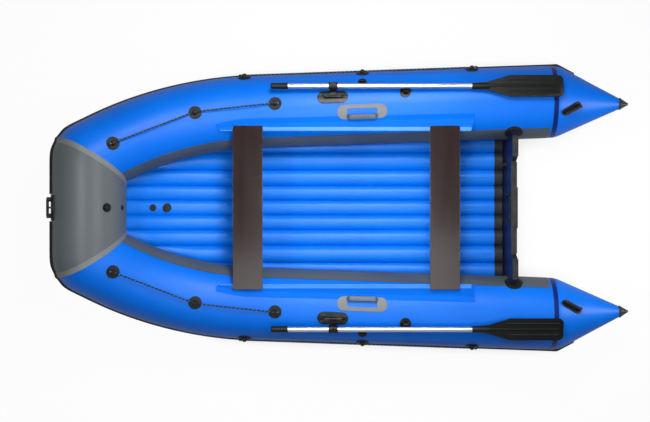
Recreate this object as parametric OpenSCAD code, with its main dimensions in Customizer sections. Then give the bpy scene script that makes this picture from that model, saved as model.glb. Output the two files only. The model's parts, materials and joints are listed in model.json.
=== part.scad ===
// Inflatable motor dinghy with a scalloped air floor, two sliding seats and a pair of stowed oars.
// Forward is +X, port is +Y, up is +Z. Millimetres. The tubes stand on z = 0.

/* [Hull] */
// Diameter of the buoyancy tubes
tube_d = 420; // [400:5:440]
// Half spacing of the tube axes where the bow begins to rise
knee_y = 560; // [550:5:575]
// Outward lean of the side tubes toward the stern, degrees
splay = 2; // [1.5:0.1:2.5]
// Tilt of the plane in which the tubes turn in and rise, degrees
rise_tilt = 45; // [42:1:48]
// Width of the rubber rubbing strake
strake_w = 60; // [50:2:70]
// Thickness of the rubbing strake
strake_t = 11; // [8:1:14]

/* [Floor] */
// Thickness of the air floor along its seams
floor_t = 70; // [60:2:76]
// Drop of the floor from its edges to its centre line
floor_vee = 13; // [8:1:14]

/* [Transom] */
// Thickness of the transom board
transom_t = 28; // [24:1:32]
// Height of the motor notch above the ground
notch_z = 372; // [360:2:384]
// Width of the motor notch
notch_w = 536; // [500:4:560]

/* [Seats] */
// Width of a seat board, fore to aft
seat_w = 170; // [150:5:180]
// Thickness of a seat board
seat_t = 12; // [10:1:15]

/* [Oars] */
// Diameter of the oar shaft
shaft_d = 30; // [28:0.5:32]
// Width of the oar blade
blade_w = 130; // [115:5:140]
// Height of the oar above the tube under its oarlock
lock_h = 48; // [46:1:52]

/* [Fittings] */
// Diameter of the lifeline eye patches
eye_d = 75; // [68:1:80]
// Diameter of the lifeline
rope_d = 8; // [7:0.5:9]
// Diameter of the transom holder patches
holder_d = 105; // [96:1:112]

/* [Hidden] */
$fn = 64;

blue = [0.05, 0.42, 0.88];
navy = [0.02, 0.10, 0.30];
grey = [0.40, 0.43, 0.45];
black = [0.06, 0.06, 0.07];
brown = [0.16, 0.11, 0.10];
silver = [0.80, 0.82, 0.84];

skin = 0.3;
tube_r = tube_d / 2;

// Path of the port tube: straight from the seam to the knee, an arc, a short straight to the mitre.
knee_x = 510;
seam_x = -1230;
arc_r = 1400;
arc_a = 36;
end_len = 140;
side_len = (knee_x - seam_x) / cos(splay);

ex = [cos(splay), -sin(splay), 0];
ei = [-sin(splay) * cos(rise_tilt), -cos(splay) * cos(rise_tilt), sin(rise_tilt)];
function tube_point(al, inw) = [knee_x, knee_y, tube_r] + al * ex + inw * ei;
function heading(h) = cos(h) * ex + sin(h) * ei;
function side_y(x) = knee_y + (knee_x - x) * tan(splay);
function unit(v) = v / norm(v);
function arc_al(a) = arc_r * sin(a);
function arc_in(a) = arc_r * (1 - cos(a));

corner = tube_point(arc_al(arc_a) + end_len * cos(arc_a), arc_in(arc_a) + end_len * sin(arc_a));
end_u = heading(arc_a);
mitre_n = unit(end_u + [0, -1, 0]);
mitre_az = atan2(mitre_n[1], mitre_n[0]);
mitre_el = asin(mitre_n[2]);

// Strake angle on the side tubes, up from the plane of the arcs, and the matching angle on the bow.
strake_up = 38;
strake_half = strake_w / 2 / tube_r * 180 / PI;
arc_out = unit(cross([0, 0, 1], ex) * cos(rise_tilt) - [0, 0, sin(rise_tilt)]);
end_r = sin(arc_a) * ex + cos(arc_a) * arc_out;
plane_n = cross(ex, arc_out);
strake_dir = cos(strake_up) * end_r + sin(strake_up) * plane_n;
mitre_w = unit(cross(end_u, [0, -1, 0]));
bow_strake_up = acos(strake_dir * mitre_w) - acos(mitre_w[0]);

// Bow handle and overall length, which puts the origin midway between handle and cone tips.
bow_bar_r = 8;
bow_bar_up = 20;
bow_bar_h = 24;
bow_bar_rho = tube_r + bow_bar_h;
front_x = corner[0] + bow_bar_rho * cos(bow_bar_up) + bow_bar_r;
cone_tilt = 7;
cone_roll = 51;
tip_r = 9;
cap_len = 46;
cap_r = 33;
cone_dir_x = -(cos(cone_tilt) * cos(splay) + sin(cone_tilt) * cos(cone_roll) * sin(splay));
tip_d = (-front_x + tip_r - seam_x) / cone_dir_x;
cone_len = tip_d - cap_len;
cone_base_r = tube_r * 1.055;
cone_slope = (cone_base_r - cap_r) / cone_len;

transom_x = -950;
transom_rake = 3;
ear_z = notch_z + 42;
holder_tilt = 58;
holder_x = transom_x - 18 - transom_t / 2;
ear_out = side_y(holder_x) - tube_r * sin(holder_tilt) - notch_w / 2 - 22;
drain_y = -252;
drain_z = 185;

rail_y = 440;
rail_z = tube_d - 6;
rail_lean = 12;
bead_r = 4;
rail_fore = 700;
rail_aft = -735;
seat_z = rail_z + 6;
seat_half = rail_y + 26;
fore_seat_x = 540;
aft_seat_x = -583;

lock_x = 54;
lock_tilt = 15;
lock_arm = 50;
shaft_r = shaft_d / 2;
grip_end = 354;
grip_len = 97;
blade_start = -815;
blade_end = -1308;
pin_r = 5;
barrel_r = 9;
barrel_z = 4.5 + barrel_r - lock_h;
clip_x = -361;
clip_tilt = 19;

rope_h = 13;
eye_top = 22;
eye_r = eye_d / 2;
rope_r = rope_d / 2;
outer_tilt = 70;

floor_aft = transom_x + 0.5;
floor_edge_z = 40 + floor_t / 2;
floor_cols = 6;
floor_seams = [44, 130, 223, 326];

// Frames on the hull.
module starboard() {
    mirror([0, 1, 0]) children();
}

module both() {
    children();
    starboard() children();
}

module at_knee() {
    translate([knee_x, knee_y, tube_r]) rotate([0, 0, -splay]) children();
}

module at_rise() {
    at_knee() rotate([-rise_tilt, 0, 0]) children();
}

module at_arc(a) {
    at_rise() translate([arc_al(a), -arc_in(a), 0]) rotate([0, 0, -a]) children();
}

module on_tube(x, tilt) {
    translate([x, side_y(x), tube_r]) rotate([0, 0, -splay]) rotate([-tilt, 0, 0])
        translate([0, 0, tube_r]) children();
}

module on_arc(a, past, tilt) {
    at_arc(a) translate([past, 0, 0]) rotate([rise_tilt - tilt, 0, 0]) translate([0, 0, tube_r]) children();
}

module on_bow(up) {
    translate([corner[0], 0, corner[2]]) rotate([0, 90 - up, 0]) translate([0, 0, tube_r]) children();
}

module at_cone() {
    at_knee() translate([-side_len, 0, 0]) mirror([1, 0, 0]) rotate([-cone_roll, 0, 0])
        rotate([0, 0, -cone_tilt]) children();
}

module at_transom() {
    translate([transom_x, 0, 0]) rotate([0, -transom_rake, 0]) children();
}

module at_oar() {
    translate([lock_x, side_y(lock_x), tube_r]) rotate([-lock_tilt, 0, 0])
        translate([0, lock_arm, tube_r + lock_h]) children();
}

module along_x(x0, x1, r) {
    translate([x0, 0, 0]) rotate([0, 90, 0]) cylinder(h = x1 - x0, r = r);
}

// Solids that follow the tubes.
module arc_sweep(a0, a1) {
    at_rise() translate([0, -arc_r, 0]) rotate([0, 0, 90 - a1]) rotate_extrude(angle = a1 - a0, $fn = 128)
        translate([arc_r, 0]) children();
}

module side_solid(r) {
    at_knee() rotate([0, -90, 0]) cylinder(h = side_len, r = r, $fn = 128);
}

module side_band(r, x, len) {
    translate([x, side_y(x), tube_r]) rotate([0, 0, -splay]) rotate([0, 90, 0])
        cylinder(h = len, r = r, center = true, $fn = 128);
}

module arc_solid(r) {
    arc_sweep(0, arc_a) circle(r, $fn = 128);
}

module end_solid(r, len) {
    at_arc(arc_a) rotate([0, 90, 0]) cylinder(h = len, r = r, $fn = 128);
}

module bow_solid(r, len) {
    translate([corner[0], 0, corner[2]]) rotate([90, 0, 0])
        cylinder(h = len, r = r, center = true, $fn = 128);
}

module past_mitre(front) {
    translate(corner) rotate([0, -mitre_el, mitre_az])
        translate([front ? 0 : -1600, -800, -800]) cube(1600);
}

module tube_patch(x, tilt, t, h) {
    intersection() {
        on_tube(x, tilt) translate([0, 0, -60]) linear_extrude(120) children();
        difference() {
            side_band(tube_r + skin + t, x, h);
            side_band(tube_r + skin, x, h + 2);
        }
    }
}

module pill(len, wid) {
    square([len - wid, wid], center = true);
    translate([(len - wid) / 2, 0]) circle(wid / 2);
    translate([(wid - len) / 2, 0]) circle(wid / 2);
}

module round_box(len, wid, r) {
    square([len - 2 * r, wid], center = true);
    square([len, wid - 2 * r], center = true);
    for (x = [-1, 1], y = [-1, 1])
        translate([x * (len / 2 - r), y * (wid / 2 - r)]) circle(r);
}

// Rubbing strake: a flat band with a raised round rib along its middle.
module strake_section(up) {
    low = tube_r + skin + 0.2;
    rise = [[-1, 0], [-0.5, 0], [0, 0], [0.5, 0], [1, 0], [0.96, 0.36], [0.62, 0.42], [0.5, 0.84], [0.26, 1],
        [-0.26, 1], [-0.5, 0.84], [-0.62, 0.42], [-0.96, 0.36]];
    polygon([for (p = rise) let (a = up + p[0] * strake_half, r = low + p[1] * strake_t)
        [r * cos(a), r * sin(a)]]);
}

// Buoyancy tubes.
module bow_tube() {
    color(grey) difference() {
        bow_solid(tube_r, 2 * corner[1] + 2 * tube_r);
        both() past_mitre(false);
    }
}

module port_bow_tube() {
    color(blue) {
        arc_sweep(0.004, arc_a - 0.01) circle(tube_r, $fn = 128);
        difference() {
            end_solid(tube_r, end_len + tube_r);
            past_mitre(true);
        }
    }
}

module starboard_bow_tube() {
    starboard() port_bow_tube();
}

module port_side_tube() {
    color(blue) side_solid(tube_r);
}

module starboard_side_tube() {
    starboard() port_side_tube();
}

module cone_solid(grow) {
    at_cone() rotate([0, 90, 0]) translate([0, 0, -40])
        cylinder(h = cone_len + 40, r1 = cone_base_r + 40 * cone_slope + grow, r2 = cap_r + grow, $fn = 128);
}

module port_cone() {
    color(blue) intersection() {
        cone_solid(0);
        at_knee() rotate([0, -90, 0]) translate([0, 0, side_len]) cylinder(h = 600, r = tube_r, $fn = 128);
    }
}

module starboard_cone() {
    starboard() port_cone();
}

module cone_caps() {
    color(black) both() at_cone() rotate([0, 90, 0]) translate([0, 0, cone_len]) {
        cylinder(h = 10, r = cap_r + 2);
        translate([0, 0, 10]) cylinder(h = cap_len - 10, r1 = cap_r, r2 = tip_r);
        translate([0, 0, cap_len]) sphere(tip_r);
    }
}

module port_strake() {
    color(black) {
        at_rise() translate([-side_len, 0, 0]) rotate([90, 0, 90]) linear_extrude(side_len - skin)
            strake_section(strake_up);
        arc_sweep(0, arc_a - 0.02) strake_section(strake_up);
        difference() {
            at_arc(arc_a) rotate([90, 0, 90]) linear_extrude(end_len + tube_r) strake_section(strake_up);
            translate(-skin * mitre_n) past_mitre(true);
        }
        difference() {
            translate([corner[0], 76, corner[2]]) rotate([-90, 0, 0]) linear_extrude(600)
                strake_section(-bow_strake_up);
            past_mitre(false);
        }
    }
}

module starboard_strake() {
    starboard() port_strake();
}

// Air floor: nine lens shaped chambers side by side, rising with the tubes at the bow.
floor_stations = concat(
    [for (k = [0:3]) [-(knee_x - floor_aft) * (1 - k / 4) / cos(splay), 0, 0]],
    [for (h = [0:3:arc_a]) [arc_al(h), arc_in(h), h]]);

function out_dir(h) = unit(cross([0, 0, 1], heading(h)));
function down_dir(h) = -unit(cross(heading(h), out_dir(h)));
function edge_point(st, z) = let (g = asin((tube_r - z) / tube_r), p = tube_point(st[0], st[1]),
    e = p + (tube_r + 4 + 0.12 * st[2]) * (sin(g) * down_dir(st[2]) - cos(g) * out_dir(st[2])))
    [st[2] == 0 ? p[0] : e[0], e[1], e[2]];

function seam_list(edge) = concat(
    [for (k = [0:3]) -min(floor_seams[3 - k], edge - 2 - 2 * k)],
    [for (k = [0:3]) min(floor_seams[k], edge - 8 + 2 * k)]);
function bounds_list(edge) = concat([-edge], seam_list(edge), [edge]);
function lens(y, y0, y1) = sqrt(pow((y1 - y0) / 2, 2) + pow(floor_t / 2, 2) - pow(y - (y0 + y1) / 2, 2));
function floor_row(edge, mid, side) = let (b = bounds_list(edge[1])) concat(
    [for (c = [0:8], k = [0:floor_cols - 1]) let (y = b[c] + (b[c + 1] - b[c]) * k / floor_cols)
        [edge[0], y, mid - floor_vee * (1 - abs(y) / edge[1]) + side * (floor_t / 2 + (side > 0 ? 1 : 0.55)
            * (lens(y, b[c], b[c + 1]) - floor_t / 2))]],
    [[edge[0], edge[1], mid + side * floor_t / 2]]);
function reverse(v) = [for (k = [len(v) - 1:-1:0]) v[k]];
function floor_ring(st) = let (
    mid = edge_point(st, floor_edge_z),
    top = edge_point(st, floor_edge_z + floor_t / 2),
    low = edge_point(st, floor_edge_z - floor_t / 2),
    lift = mid[2])
    concat(reverse(floor_row(top, lift, 1)), [[mid[0], -mid[1], lift]],
        floor_row(low, lift, -1), [mid]);

floor_n = 9 * floor_cols + 1;
floor_m = 2 * floor_n + 2;
floor_last = len(floor_stations) - 1;
function cap_faces(base, flip) = [for (f = concat(
    [for (j = [0:floor_n - 2]) [base + j, base + j + 1, base + 2 * floor_n - j - 1]],
    [for (j = [0:floor_n - 2]) [base + j, base + 2 * floor_n - j - 1, base + 2 * floor_n - j]],
    [[base + floor_n - 1, base + floor_n, base + floor_n + 1],
        [base, base + 2 * floor_n, base + 2 * floor_n + 1]]))
    flip ? reverse(f) : f];

module air_floor() {
    points = [for (st = floor_stations) each floor_ring(st)];
    sides = [for (i = [0:floor_last - 1], j = [0:floor_m - 1]) let (
        a = i * floor_m + j,
        b = i * floor_m + (j + 1) % floor_m)
        each [[a, a + floor_m, b + floor_m], [a, b + floor_m, b]]];
    ends = concat(cap_faces(0, false), cap_faces(floor_last * floor_m, true));
    color(blue) polyhedron(points, concat(sides, ends), 10);
}

crest_r = sqrt(pow(floor_seams[0], 2) + pow(floor_t / 2, 2));
function crest_at(h) = let (st = [arc_al(h), arc_in(h), h])
    [edge_point(st, floor_edge_z + floor_t / 2)[0], 0, edge_point(st, floor_edge_z)[2] - floor_vee];

module crest_fitting(h, f, r, cap_r, cap_h) {
    a = crest_at(h);
    b = crest_at(h + 3);
    translate(a + f * (b - a)) rotate([0, -atan2(b[2] - a[2], b[0] - a[0]), 0]) difference() {
        union() {
            translate([0, 0, crest_r - 6]) cylinder(h = 10, r = r);
            translate([0, 0, crest_r]) cylinder(h = 4 + cap_h, r = cap_r);
        }
        rotate([0, 90, 0]) cylinder(h = 4 * r, r = crest_r + 1.5, center = true);
    }
}

module floor_valves() {
    color(black) {
        crest_fitting(24, 0.1, 26, 19, 8);
        crest_fitting(27, 0.45, 20, 14, 5);
    }
}

// Transom and what is fixed to it.
module transom_outline() {
    half = notch_w / 2;
    end = half + ear_out;
    polygon([[-half, notch_z], [half, notch_z], [half + 22, ear_z], [end, ear_z], [end + 30, ear_z - 70],
        [half + 310, 14], [-half - 310, 14], [-end - 30, ear_z - 70], [-end, ear_z], [-half - 22, ear_z]]);
}

module transom_board(grow) {
    at_transom() translate([-transom_t - grow, 0, 0]) rotate([90, 0, 90])
        linear_extrude(transom_t + 2 * grow) transom_outline();
}

module transom() {
    color(navy) difference() {
        transom_board(0);
        both() side_solid(tube_r + skin);
        at_transom() translate([0, drain_y, drain_z]) rotate([0, 90, 0])
            cylinder(h = 200, r = 14.3, center = true);
    }
}

module transom_cap() {
    half = notch_w / 2;
    color(black) at_transom() translate([-transom_t - 3, 0, 0]) {
        translate([0, -half + 6, notch_z]) cube([transom_t + 6, notch_w - 12, 4]);
        for (y = [half + 26, -half - ear_out + 4])
            translate([0, y, ear_z]) cube([transom_t + 6, ear_out - 30, 4]);
    }
}

module motor_pads() {
    color(black) at_transom() {
        translate([-transom_t - 10, -118, 150]) cube([10, 236, notch_z - 158]);
        translate([0, -95, notch_z - 116]) cube([8, 190, 100]);
        for (y = [-72, 72], z = [notch_z - 94, notch_z - 38])
            translate([8, y, z]) rotate([0, 90, 0]) cylinder(h = 6, r = 9, $fn = 6);
    }
}

module transom_holders() {
    color(black) both() difference() {
        union() {
            tube_patch(holder_x, -holder_tilt, 5, 160) circle(holder_d / 2);
            tube_patch(holder_x, -holder_tilt, 9, 160) circle(holder_d / 2 - 12);
        }
        transom_board(skin);
    }
}

module drain_valve() {
    color(black) at_transom() translate([0, drain_y, drain_z]) rotate([0, 90, 0]) {
        translate([0, 0, 0.1]) cylinder(h = 5, r = 29);
        cylinder(h = 16, r = 19);
        translate([0, 0, -transom_t - 1]) cylinder(h = transom_t + 2, r = 14);
        translate([0, 0, -transom_t - 6]) cylinder(h = 5.9, r = 25);
    }
}

// Seats on their beaded rails. The flange of a rail leans down and ends where its lower face meets the tube.
function rail_edge(x) = let (
    a = x > knee_x ? asin((x - knee_x) / arc_r) : 0,
    u = heading(a),
    c = cos(rail_lean),
    s = sin(rail_lean),
    dy = rail_y - 2 * s - side_y(x) + arc_in(a) * cos(rise_tilt),
    dz = rail_z - 2 * c - tube_r - arc_in(a) * sin(rise_tilt),
    eu = c * u[1] - s * u[2],
    du = dy * u[1] + dz * u[2],
    m = 1 - eu * eu,
    h = dy * c - dz * s - du * eu,
    k = dy * dy + dz * dz - du * du - pow(tube_r + 1, 2))
    [x, (-h - sqrt(h * h - m * k)) / m];

module port_seat_rail() {
    fore = rail_fore + 22;
    edge = [for (x = [rail_aft - 22, knee_x, knee_x + (fore - knee_x) / 3, fore - (fore - knee_x) / 3, fore])
        rail_edge(x)];
    color(blue) translate([0, rail_y, rail_z]) {
        rotate([-rail_lean, 0, 0]) translate([0, 0, -2]) linear_extrude(4)
            polygon(concat([[rail_fore, 0], [rail_aft, 0]], edge));
        along_x(rail_aft + 1, rail_fore - 1, bead_r);
    }
}

module starboard_seat_rail() {
    starboard() port_seat_rail();
}

module seat_board(x) {
    color(brown) translate([x, 0, seat_z]) linear_extrude(seat_t) round_box(seat_w, 2 * seat_half, 8);
}

module seat_channels(x) {
    len = seat_w * 0.7;
    color(black) both() translate([x - len / 2, rail_y, rail_z]) rotate([90, 0, 90])
        linear_extrude(len) difference() {
            polygon([[-10, 6], [-10, -7.5], [6.5, -7.5], [6.5, -2], [10, -2], [10, 6]]);
            circle(bead_r + 0.8);
            rotate(-rail_lean) translate([0, -2.8]) square([20, 5.6]);
        }
}

module fore_seat_board() {
    seat_board(fore_seat_x);
}

module fore_seat_channels() {
    seat_channels(fore_seat_x);
}

module aft_seat_board() {
    seat_board(aft_seat_x);
}

module aft_seat_channels() {
    seat_channels(aft_seat_x);
}

// Oarlocks: a plate with two knuckles, a swivel on their pin, and a collar on the swivel's upright pin.
module port_oarlock_base() {
    color(black) difference() {
        union() {
            tube_patch(lock_x, lock_tilt, 4, 240) pill(177, 73);
            for (side = [-1, 1]) at_oar() translate([side * 36, -lock_arm, 0]) {
                translate([0, 0, barrel_z]) rotate([0, 90, 0]) cylinder(h = 26, r = barrel_r, center = true);
                translate([-13, -barrel_r, -lock_h - 6]) cube([26, 2 * barrel_r, barrel_z + lock_h + 6]);
            }
            at_oar() translate([0, -lock_arm, barrel_z]) along_x(-56, 56, 4);
            for (side = [-1, 1]) at_oar() translate([side * 72, -lock_arm, -lock_h])
                cylinder(h = 8, r = 8);
        }
        side_band(tube_r + skin, lock_x, 300);
    }
}

module starboard_oarlock_base() {
    starboard() port_oarlock_base();
}

module port_oarlock_swivel() {
    color(black) at_oar() {
        difference() {
            union() {
                translate([0, -lock_arm, barrel_z]) along_x(-22, 22, barrel_r);
                translate([-18, -lock_arm, barrel_z - 5]) cube([36, lock_arm, 10]);
                translate([0, 0, barrel_z - 5]) cylinder(h = 10, r = 18);
            }
            translate([0, -lock_arm, barrel_z]) along_x(-40, 40, 4.3);
        }
        translate([0, 0, barrel_z]) cylinder(h = 26 - barrel_z, r = pin_r);
        translate([0, 0, 26]) cylinder(h = 7, r = 9);
    }
}

module starboard_oarlock_swivel() {
    starboard() port_oarlock_swivel();
}

module port_oarlock_collar() {
    color(black) at_oar() difference() {
        union() {
            along_x(-26, 26, shaft_r + 7);
            translate([0, 0, barrel_z + 6]) cylinder(h = -barrel_z - 6, r = 13);
            cylinder(h = 25, r = 13);
        }
        along_x(-30, 30, shaft_r + 0.15);
        translate([0, 0, -60]) cylinder(h = 120, r = pin_r + 0.4);
    }
}

module starboard_oarlock_collar() {
    starboard() port_oarlock_collar();
}

// Oars.
module port_oar_shaft() {
    color(silver) at_oar() difference() {
        along_x(blade_start - 60, grip_end - 12, shaft_r);
        translate([0, 0, -40]) cylinder(h = 80, r = pin_r + 0.4);
    }
}

module starboard_oar_shaft() {
    starboard() port_oar_shaft();
}

module port_oar_grip() {
    color(black) at_oar() difference() {
        union() {
            along_x(grip_end - grip_len, grip_end - 6, shaft_r + 2.5);
            along_x(grip_end - grip_len, grip_end - grip_len + 8, shaft_r + 5);
            along_x(grip_end - 6, grip_end, shaft_r);
        }
        along_x(grip_end - grip_len - 1, grip_end - 11.8, shaft_r + 0.15);
    }
}

module starboard_oar_grip() {
    starboard() port_oar_grip();
}

module blade_outline() {
    half = blade_w / 2;
    round = 30;
    translate([blade_end + round, half - round]) circle(round);
    translate([blade_end + round, round - half]) circle(round);
    polygon([[blade_start, 19], [blade_start - 60, 24], [blade_start - 190, half], [blade_end + round, half],
        [blade_end + round, -half], [blade_start - 190, -half], [blade_start - 60, -24], [blade_start, -19]]);
    translate([blade_end, round - half]) square([round + 1, blade_w - 2 * round]);
}

module port_oar_blade() {
    color(black) at_oar() difference() {
        union() {
            translate([0, 0, -4]) linear_extrude(8) blade_outline();
            along_x(blade_start - 74, blade_start + 26, shaft_r + 4);
            for (y = [-1, 1]) translate([0, y * blade_w * 0.26, 0])
                along_x(blade_end + 24, blade_start - 170, 7);
            along_x(blade_end + 24, blade_start - 60, 9);
        }
        along_x(blade_start - 60.2, blade_start + 40, shaft_r + 0.15);
    }
}

module starboard_oar_blade() {
    starboard() port_oar_blade();
}

module oar_clips() {
    color(black) both() difference() {
        union() {
            tube_patch(clip_x, clip_tilt, 5, 120) circle(32);
            at_oar() translate([clip_x - lock_x - 14, 0, 0]) rotate([90, 0, 90]) linear_extrude(28)
                polygon([[-31, -58], [-31, -8], [-28, -5], [-shaft_r - 8, -7], [-shaft_r - 8, -17],
                    [-12, -shaft_r - 6.5], [6, -shaft_r - 6.5], [6, -58]]);
        }
        side_band(tube_r + skin, clip_x, 200);
    }
}

// Small fittings.
module valve(r) {
    cylinder(h = 5, r = r);
    cylinder(h = 13, r = r - 7);
    translate([-r + 9, -3, 0]) cube([2 * r - 18, 6, 16]);
}

module tube_valves() {
    color(black) {
        both() difference() {
            on_tube(-119, 41) union() {
                translate([0, 0, -4]) cylinder(h = 5, r = 25);
                valve(25);
            }
            side_band(tube_r + skin, -119, 120);
        }
        difference() {
            on_bow(127) union() {
                translate([0, 0, -4]) cylinder(h = 5, r = 25);
                valve(25);
            }
            bow_solid(tube_r + skin, 200);
        }
    }
}

module port_carry_handle() {
    x = -111;
    color(grey) {
        tube_patch(x, -9, 2.5, 320) difference() {
            round_box(283, 82, 24);
            round_box(173, 37, 8);
        }
        on_tube(x, -16) translate([0, 12, 0]) rotate([90, 0, 0]) linear_extrude(24)
            polygon([[-118, 3], [-88, 3], [-66, 22], [66, 22], [88, 3], [118, 3], [118, 5.8], [92, 5.8],
                [69, 26], [-69, 26], [-92, 5.8], [-118, 5.8]]);
    }
}

module starboard_carry_handle() {
    starboard() port_carry_handle();
}

cone_spot = 100;
cone_spot_r = cone_base_r - cone_slope * cone_spot;
cone_face = atan(cone_slope);

module stern_handles() {
    color(black) both() difference() {
        at_cone() translate([cone_spot, 0, 0]) rotate([cone_roll + 17, 0, 0]) translate([0, 0, cone_spot_r])
            rotate([0, cone_face, 0]) rotate([0, 0, 23]) {
                translate([0, 0, -6]) linear_extrude(10) pill(128, 44);
                for (x = [-1, 1]) translate([x * 44, 0, 0]) cylinder(h = 34, r = 10);
                translate([0, 0, 28]) along_x(-44, 44, 9);
            }
        cone_solid(skin);
    }
}

module bow_handle() {
    color(black) {
        intersection() {
            difference() {
                bow_solid(tube_r + skin + 4, 190);
                bow_solid(tube_r + skin, 200);
            }
            on_bow(bow_bar_up) rotate([0, 0, 90]) translate([0, 0, -60]) linear_extrude(120)
                round_box(146, 96, 18);
        }
        on_bow(bow_bar_up) {
            for (y = [-46, 46]) translate([0, y, 2]) cylinder(h = bow_bar_h + 3, r = 13);
            translate([0, 0, bow_bar_h]) rotate([90, 0, 0]) cylinder(h = 92, r = bow_bar_r, center = true);
        }
        on_bow(bow_bar_up) translate([-29, 0, 1]) difference() {
            union() {
                translate([-15, -5, 0]) cube([30, 10, 17]);
                translate([0, 0, 17]) rotate([90, 0, 0]) cylinder(h = 10, r = 15, center = true);
            }
            translate([0, 0, 17]) rotate([90, 0, 0]) cylinder(h = 30, r = 8, center = true);
        }
    }
}

// Lifelines: patches with a bored boss, and a rope drawn straight through the bores.
bow_eyes = [[arc_a, 43, 3.5], [15, 0, 6], [1.9, 0, outer_tilt]];
side_eyes = [[384, 8], [-124, outer_tilt], [-759, outer_tilt]];

function bow_eye(e) = let (
    p = tube_point(arc_al(e[0]), arc_in(e[0])) + e[1] * heading(e[0]),
    out = cos(e[0]) * arc_out + sin(e[0]) * ex,
    lean = rise_tilt - e[2])
    p + (tube_r + rope_h) * (cos(lean) * plane_n - sin(lean) * out);
function side_eye(x, tilt) = [x, side_y(x), tube_r] + (tube_r + rope_h)
    * [sin(tilt) * sin(splay), sin(tilt) * cos(splay), cos(tilt)];

top_line = [bow_eye(bow_eyes[0]), bow_eye(bow_eyes[1]), side_eye(side_eyes[0][0], side_eyes[0][1])];
outer_line = [bow_eye(bow_eyes[2]), side_eye(side_eyes[1][0], side_eyes[1][1]),
    side_eye(side_eyes[2][0], side_eyes[2][1])];

module toward(v) {
    rotate([0, acos(v[2] / norm(v)), atan2(v[1], v[0])]) children();
}

module rod(a, b, r) {
    translate(a) toward(b - a) cylinder(h = norm(b - a), r = r, $fn = 32);
}

module rope_bore(line, k) {
    a = line[max(k - 1, 0)];
    b = line[min(k + 1, 2)];
    translate(line[k]) toward(b - a) cylinder(h = 120, r = rope_r + 1.6, center = true, $fn = 32);
}

module eye_boss() {
    translate([0, 0, -3]) cylinder(h = eye_top - 5, r = 14);
    translate([0, 0, eye_top - 8]) cylinder(h = 8, r1 = 14, r2 = 9);
}

module eye_shell(k, r) {
    if (k == 0) end_solid(r, end_len);
    else arc_solid(r);
}

module port_lifeline_eyes() {
    color(black) {
        for (k = [0:2]) difference() {
            union() {
                intersection() {
                    on_arc(bow_eyes[k][0], bow_eyes[k][1], bow_eyes[k][2]) translate([0, 0, -30])
                        cylinder(h = 60, r = eye_r);
                    eye_shell(k, tube_r + skin + 3);
                }
                on_arc(bow_eyes[k][0], bow_eyes[k][1], bow_eyes[k][2]) eye_boss();
            }
            eye_shell(k, tube_r + skin);
            if (k < 2) rope_bore(top_line, k);
            else rope_bore(outer_line, 0);
        }
        for (k = [0:2]) difference() {
            union() {
                tube_patch(side_eyes[k][0], side_eyes[k][1], 3, 120) circle(eye_r);
                on_tube(side_eyes[k][0], side_eyes[k][1]) eye_boss();
            }
            side_band(tube_r + skin, side_eyes[k][0], 120);
            if (k == 0) rope_bore(top_line, 2);
            else rope_bore(outer_line, k);
        }
    }
}

module starboard_lifeline_eyes() {
    starboard() port_lifeline_eyes();
}

module line_span(eye, next) {
    dir = unit(eye - next);
    knot = eye + dir * (15 + rope_r * 1.5);
    rod(knot, next + dir, rope_r);
    translate(knot) sphere(rope_r * 1.5, $fn = 32);
}

module line_of(p) {
    run = 17 * unit(p[0] - p[2]);
    line_span(p[0], p[1] + 1.06 * run);
    rod(p[1] + run, p[1] - run, rope_r);
    line_span(p[2], p[1] - 1.06 * run);
}

module port_lifelines() {
    color(black) {
        line_of(top_line);
        line_of(outer_line);
    }
}

module starboard_lifelines() {
    starboard() port_lifelines();
}

bow_tube();
port_bow_tube();
starboard_bow_tube();
port_side_tube();
starboard_side_tube();
port_cone();
starboard_cone();
cone_caps();
port_strake();
starboard_strake();
air_floor();
floor_valves();
transom();
transom_cap();
motor_pads();
transom_holders();
drain_valve();
port_seat_rail();
starboard_seat_rail();
fore_seat_board();
fore_seat_channels();
aft_seat_board();
aft_seat_channels();
port_oarlock_base();
starboard_oarlock_base();
port_oarlock_swivel();
starboard_oarlock_swivel();
port_oarlock_collar();
starboard_oarlock_collar();
port_oar_shaft();
starboard_oar_shaft();
port_oar_grip();
starboard_oar_grip();
port_oar_blade();
starboard_oar_blade();
oar_clips();
tube_valves();
port_carry_handle();
starboard_carry_handle();
stern_handles();
bow_handle();
port_lifeline_eyes();
starboard_lifeline_eyes();
port_lifelines();
starboard_lifelines();
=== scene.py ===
import json
import math

import bmesh
import bpy
from mathutils import Matrix, Vector, noise


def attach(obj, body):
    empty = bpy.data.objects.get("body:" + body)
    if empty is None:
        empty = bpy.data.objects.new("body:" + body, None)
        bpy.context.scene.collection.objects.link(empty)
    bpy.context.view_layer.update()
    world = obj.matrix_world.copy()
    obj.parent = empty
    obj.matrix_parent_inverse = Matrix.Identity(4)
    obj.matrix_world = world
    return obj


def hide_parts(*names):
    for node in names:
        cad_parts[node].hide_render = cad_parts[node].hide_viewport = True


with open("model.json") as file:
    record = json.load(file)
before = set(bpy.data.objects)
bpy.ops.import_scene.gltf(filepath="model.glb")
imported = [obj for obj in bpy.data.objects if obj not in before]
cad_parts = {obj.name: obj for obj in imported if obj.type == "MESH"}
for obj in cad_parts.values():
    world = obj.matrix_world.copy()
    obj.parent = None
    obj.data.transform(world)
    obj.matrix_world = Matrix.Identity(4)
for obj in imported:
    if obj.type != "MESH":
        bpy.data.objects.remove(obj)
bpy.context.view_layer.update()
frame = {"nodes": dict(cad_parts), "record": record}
nodes = frame["nodes"]
bodyOf = {node: body for body, members in frame["record"]["behaviour"]["bodies"].items() for node in members}
scene = bpy.context.scene
print("frame loaded,", len(nodes), "nodes")


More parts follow.
